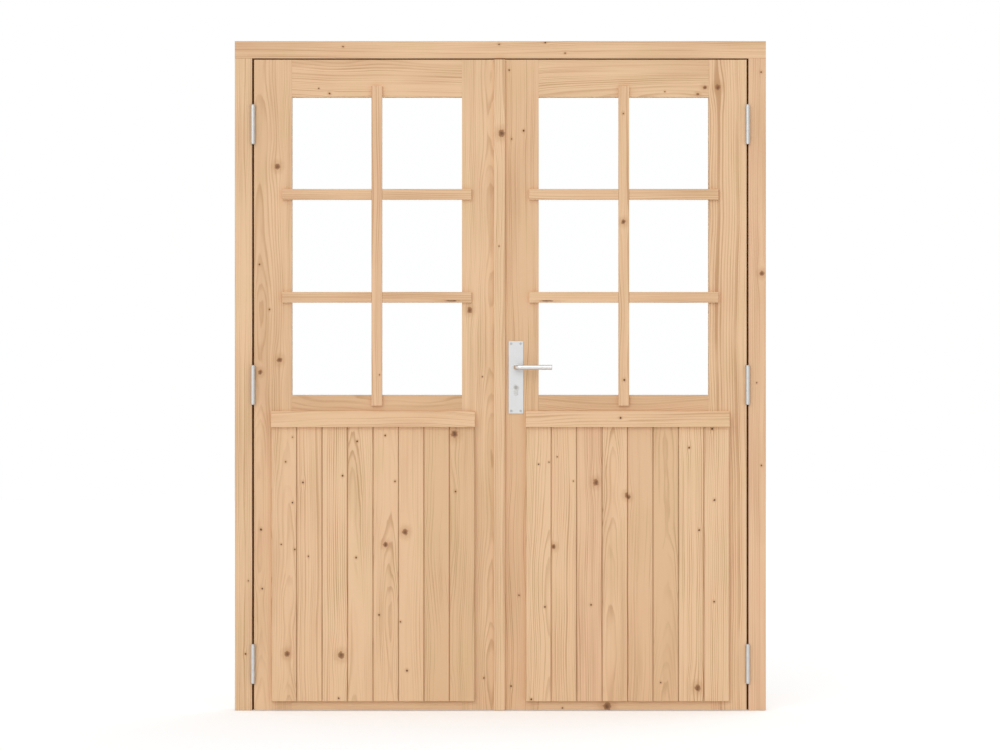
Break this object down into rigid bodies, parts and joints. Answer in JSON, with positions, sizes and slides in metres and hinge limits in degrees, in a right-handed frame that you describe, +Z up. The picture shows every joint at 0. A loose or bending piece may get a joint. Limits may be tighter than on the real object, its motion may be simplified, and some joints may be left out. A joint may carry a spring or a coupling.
{
  "type": "glazed double door",
  "caption": "Timber double door in its frame, each leaf glazed above with glazing bars and boarded below, with weather rails, hinges, lever handle and slide bolts.",
  "frame": {"origin": "on the floor, midway between the jambs, in the middle plane of the closed leaves", "axes": "+X to the right seen from outside, +Y inwards, so the outside face looks towards -Y, +Z up"},
  "size_m": [1.682, 0.154, 2.12],
  "materials": {
    "timber": "bare planed spruce",
    "glass": "clear float",
    "handle_steel": "satin",
    "hinge_steel": "zinc plated",
    "lock_steel": "zinc plated",
    "bolt_steel": "zinc plated",
    "screw_steel": "zinc plated"
  },
  "bodies": {
    "frame": {"left_jamb": "timber", "right_jamb": "timber", "frame_head": "timber", "frame_hinge_plates": "hinge_steel", "hinge_pins": "hinge_steel", "frame_screws": "screw_steel"},
    "left_leaf": {"left_hinge_stile": "timber", "left_meeting_stile": "timber", "left_top_rail": "timber", "left_mid_rail": "timber", "left_bottom_rail": "timber", "left_board_1": "timber", "left_board_2": "timber", "left_board_3": "timber", "left_board_4": "timber", "left_board_5": "timber", "left_board_6": "timber", "left_board_7": "timber", "left_board_8": "timber", "left_drip_rail": "timber", "left_glass": "glass", "left_vertical_bar": "timber", "left_horizontal_bars": "timber", "left_glass_beads": "timber", "left_hinge_plates": "hinge_steel", "left_leaf_screws": "screw_steel", "strike_plate": "lock_steel", "slide_bolt_guides": "bolt_steel"},
    "right_leaf": {"right_hinge_stile": "timber", "right_meeting_stile": "timber", "right_top_rail": "timber", "right_mid_rail": "timber", "right_bottom_rail": "timber", "right_board_1": "timber", "right_board_2": "timber", "right_board_3": "timber", "right_board_4": "timber", "right_board_5": "timber", "right_board_6": "timber", "right_board_7": "timber", "right_board_8": "timber", "right_drip_rail": "timber", "right_glass": "glass", "right_vertical_bar": "timber", "right_horizontal_bars": "timber", "right_glass_beads": "timber", "right_hinge_plates": "hinge_steel", "right_leaf_screws": "screw_steel", "astragal": "timber", "lock_case": "lock_steel", "handle_plates": "handle_steel", "lock_cylinder": "handle_steel"},
    "lever": {"front_lever": "handle_steel", "back_lever": "handle_steel", "follower": "lock_steel"},
    "latch": {"latch_bolt": "lock_steel"},
    "plug": {"cylinder_plug": "handle_steel"},
    "dead_bolt": {"dead_bolt": "lock_steel"},
    "top_bolt": {"top_slide_bolt": "bolt_steel"},
    "bottom_bolt": {"bottom_slide_bolt": "bolt_steel"}
  },
  "joints": [
    {"name": "left_leaf_hinge", "type": "hinge", "parent": "frame", "child": "left_leaf", "pos_m": [-0.783, -0.0283, 1.032], "axis": [0, 0, -1], "range_deg": [0, 160]},
    {"name": "right_leaf_hinge", "type": "hinge", "parent": "frame", "child": "right_leaf", "pos_m": [0.783, -0.0283, 1.032], "axis": [0, 0, 1], "range_deg": [0, 160]},
    {"name": "lever_turn", "type": "hinge", "parent": "right_leaf", "child": "lever", "pos_m": [0.0495, 0, 1.087], "axis": [0, 1, 0], "range_deg": [0, 40], "stiffness_Nm_per_rad": 1.2, "springref_deg": -34.38},
    {"name": "latch_slide", "type": "slide", "parent": "right_leaf", "child": "latch", "axis": [1, 0, 0], "range_m": [0, 0.0115]},
    {"name": "plug_turn", "type": "hinge", "parent": "right_leaf", "child": "plug", "pos_m": [0.0495, 0, 1.023], "axis": [0, 1, 0], "range_deg": [0, 360]},
    {"name": "dead_bolt_slide", "type": "slide", "parent": "right_leaf", "child": "dead_bolt", "axis": [-1, 0, 0], "range_m": [0, 0.02]},
    {"name": "top_bolt_slide", "type": "slide", "parent": "left_leaf", "child": "top_bolt", "axis": [0, 0, 1], "range_m": [0, 0.02]},
    {"name": "bottom_bolt_slide", "type": "slide", "parent": "left_leaf", "child": "bottom_bolt", "axis": [0, 0, -1], "range_m": [0, 0.02]}
  ],
  "couplings": [
    {"joint": "latch_slide", "follows": "lever_turn", "m_per_rad": 0.01647},
    {"joint": "plug_turn", "follows": "dead_bolt_slide", "rad_per_m": 314.15}
  ]
}
